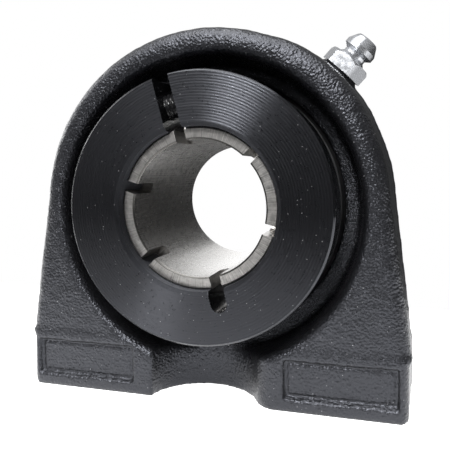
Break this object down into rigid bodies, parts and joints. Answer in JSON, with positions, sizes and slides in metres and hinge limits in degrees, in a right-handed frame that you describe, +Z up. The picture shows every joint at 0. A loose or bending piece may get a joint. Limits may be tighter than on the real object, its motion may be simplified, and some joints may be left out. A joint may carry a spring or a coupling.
{
  "type": "pillow block bearing",
  "caption": "Pillow block with an arched cast housing on a tapped base, a self-aligning ball bearing insert, a split locking collar on the slotted inner ring and a grease fitting.",
  "frame": {"origin": "centre of the base on its underside, midway between the tapped holes, in the ball plane", "axes": "+X along the base to the grease fitting's side, +Y along the shaft away from the locking collar, +Z up"},
  "size_m": [0.0754, 0.0395, 0.0709],
  "materials": {
    "black_paint": "black paint, semi-gloss, on a rough casting",
    "black_oxide": "black oxide, turned",
    "ground_steel": "ground",
    "sheet_steel": "pressed sheet, satin",
    "spring_steel": "drawn wire",
    "bright_zinc": "bright zinc plating",
    "black_rubber": "matte"
  },
  "bodies": {
    "housing": {"housing": "black_paint", "grease_fitting": "bright_zinc", "grease_check_spring": "spring_steel"},
    "pin": {"anti_rotation_pin": "ground_steel"},
    "outer_ring": {"outer_ring": "ground_steel", "front_seal_shield": "sheet_steel", "front_seal_lip": "black_rubber", "rear_seal_shield": "sheet_steel", "rear_seal_lip": "black_rubber"},
    "rotor": {"inner_ring": "ground_steel", "front_slinger": "sheet_steel", "rear_slinger": "sheet_steel", "locking_collar": "black_oxide", "clamp_screw": "black_oxide"},
    "cage": {"cage_front": "sheet_steel", "cage_rear": "sheet_steel", "cage_rivets": "sheet_steel"},
    "ball_1": {"ball_1": "ground_steel"},
    "ball_2": {"ball_2": "ground_steel"},
    "ball_3": {"ball_3": "ground_steel"},
    "ball_4": {"ball_4": "ground_steel"},
    "ball_5": {"ball_5": "ground_steel"},
    "ball_6": {"ball_6": "ground_steel"},
    "ball_7": {"ball_7": "ground_steel"},
    "ball_8": {"ball_8": "ground_steel"},
    "ball_9": {"ball_9": "ground_steel"},
    "check_ball": {"grease_check_ball": "ground_steel"}
  },
  "joints": [
    {"name": "insert_pan", "type": "hinge", "parent": "housing", "child": "pin", "pos_m": [0, 0, 0.0365], "axis": [0, 0, 1], "range_deg": [-2.5, 2.5]},
    {"name": "insert_tilt", "type": "hinge", "parent": "pin", "child": "outer_ring", "pos_m": [0, 0, 0.0365], "axis": [1, 0, 0], "range_deg": [-2.5, 2.5]},
    {"name": "shaft_spin", "type": "hinge", "parent": "outer_ring", "child": "rotor", "pos_m": [0, 0, 0.0365], "axis": [0, 1, 0], "continuous": true},
    {"name": "cage_spin", "type": "hinge", "parent": "outer_ring", "child": "cage", "pos_m": [0, 0, 0.0365], "axis": [0, 1, 0], "continuous": true},
    {"name": "ball_1_spin", "type": "hinge", "parent": "cage", "child": "ball_1", "pos_m": [0, 0, 0.05601], "axis": [0, 1, 0], "continuous": true},
    {"name": "ball_2_spin", "type": "hinge", "parent": "cage", "child": "ball_2", "pos_m": [-0.01254, 0, 0.05144], "axis": [0, 1, 0], "continuous": true},
    {"name": "ball_3_spin", "type": "hinge", "parent": "cage", "child": "ball_3", "pos_m": [-0.01921, 0, 0.03989], "axis": [0, 1, 0], "continuous": true},
    {"name": "ball_4_spin", "type": "hinge", "parent": "cage", "child": "ball_4", "pos_m": [-0.0169, 0, 0.02675], "axis": [0, 1, 0], "continuous": true},
    {"name": "ball_5_spin", "type": "hinge", "parent": "cage", "child": "ball_5", "pos_m": [-0.00667, 0, 0.01817], "axis": [0, 1, 0], "continuous": true},
    {"name": "ball_6_spin", "type": "hinge", "parent": "cage", "child": "ball_6", "pos_m": [0.00667, 0, 0.01817], "axis": [0, 1, 0], "continuous": true},
    {"name": "ball_7_spin", "type": "hinge", "parent": "cage", "child": "ball_7", "pos_m": [0.0169, 0, 0.02675], "axis": [0, 1, 0], "continuous": true},
    {"name": "ball_8_spin", "type": "hinge", "parent": "cage", "child": "ball_8", "pos_m": [0.01921, 0, 0.03989], "axis": [0, 1, 0], "continuous": true},
    {"name": "ball_9_spin", "type": "hinge", "parent": "cage", "child": "ball_9", "pos_m": [0.01254, 0, 0.05144], "axis": [0, 1, 0], "continuous": true},
    {"name": "check_press", "type": "slide", "parent": "housing", "child": "check_ball", "axis": [-0.6756, 0, -0.7373], "range_m": [0, 0.0008], "stiffness_N_per_m": 100, "springref_m": -0.002, "deforming": ["grease_check_spring"]}
  ],
  "couplings": [
    {"joint": "cage_spin", "follows": "shaft_spin", "ratio": 0.39828},
    {"joint": "ball_1_spin", "follows": "shaft_spin", "ratio": -2.3559},
    {"joint": "ball_2_spin", "follows": "shaft_spin", "ratio": -2.3559},
    {"joint": "ball_3_spin", "follows": "shaft_spin", "ratio": -2.3559},
    {"joint": "ball_4_spin", "follows": "shaft_spin", "ratio": -2.3559},
    {"joint": "ball_5_spin", "follows": "shaft_spin", "ratio": -2.3559},
    {"joint": "ball_6_spin", "follows": "shaft_spin", "ratio": -2.3559},
    {"joint": "ball_7_spin", "follows": "shaft_spin", "ratio": -2.3559},
    {"joint": "ball_8_spin", "follows": "shaft_spin", "ratio": -2.3559},
    {"joint": "ball_9_spin", "follows": "shaft_spin", "ratio": -2.3559}
  ]
}
